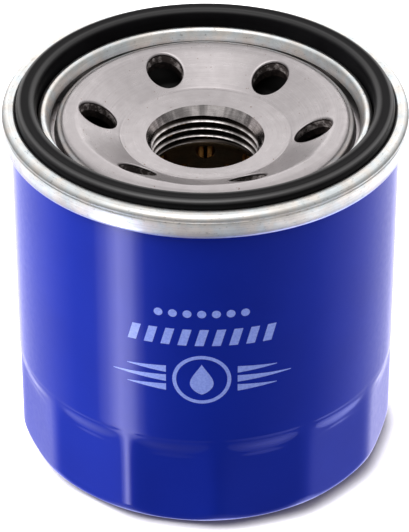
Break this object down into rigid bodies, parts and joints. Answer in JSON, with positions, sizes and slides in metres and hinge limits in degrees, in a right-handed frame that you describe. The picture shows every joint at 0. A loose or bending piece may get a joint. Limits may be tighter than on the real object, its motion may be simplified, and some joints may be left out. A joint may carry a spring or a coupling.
{
  "type": "spin-on oil filter",
  "caption": "Spin-on engine oil filter: fluted steel can, rolled seam, rubber gasket, threaded tapping plate, drainback and bypass valves and a pleated element inside.",
  "frame": {"origin": "middle of the base, the closed end of the can", "axes": "+Z along the filter's axis, out of the threaded end; +X and +Y across it"},
  "size_m": [0.07, 0.07, 0.0678],
  "materials": {
    "can_paint": "glossy blue enamel",
    "zinc_sheet": "bright plated sheet",
    "sealing_compound": "cured seam compound",
    "gasket_rubber": "moulded black nitrile rubber",
    "plate_steel": "matte pressed steel with a bright cut thread",
    "valve_rubber": "matte black nitrile rubber",
    "tin_sheet": "tin-plated sheet",
    "adhesive": "cured potting adhesive",
    "filter_paper": "resin-treated filter paper",
    "valve_steel": "pressed steel",
    "spring_steel": "drawn spring wire"
  },
  "bodies": {
    "housing": {"can": "can_paint", "seam_lid": "zinc_sheet", "seam_sealant": "sealing_compound", "gasket": "gasket_rubber", "tapping_plate": "plate_steel", "drainback_hub": "valve_rubber", "support_spring": "spring_steel"},
    "element": {"upper_end_cap": "tin_sheet", "upper_potting": "adhesive", "pleated_media": "filter_paper", "media_clip": "tin_sheet", "centre_tube": "tin_sheet", "lower_potting": "adhesive", "lower_end_cap": "tin_sheet", "bypass_seat": "valve_steel", "bypass_cage": "valve_steel", "bypass_spring": "spring_steel"},
    "bypass_disc": {"bypass_poppet": "valve_steel", "bypass_seal": "valve_rubber"},
    "drainback_flap": {"drainback_lip": "valve_rubber"}
  },
  "joints": [
    {"name": "element_float", "type": "slide", "parent": "housing", "child": "element", "axis": [0, 0, -1], "range_m": [0, 0.0015], "stiffness_N_per_m": 500, "springref_m": -0.008, "deforming": ["support_spring"]},
    {"name": "bypass_open", "type": "slide", "parent": "element", "child": "bypass_disc", "axis": [0, 0, 1], "range_m": [0, 0.003], "stiffness_N_per_m": 100, "springref_m": -0.003, "deforming": ["bypass_spring"]},
    {"name": "drainback_open", "type": "slide", "parent": "housing", "child": "drainback_flap", "axis": [0, 0, -1], "range_m": [0, 0.0012], "stiffness_N_per_m": 100, "springref_m": -0.003}
  ]
}
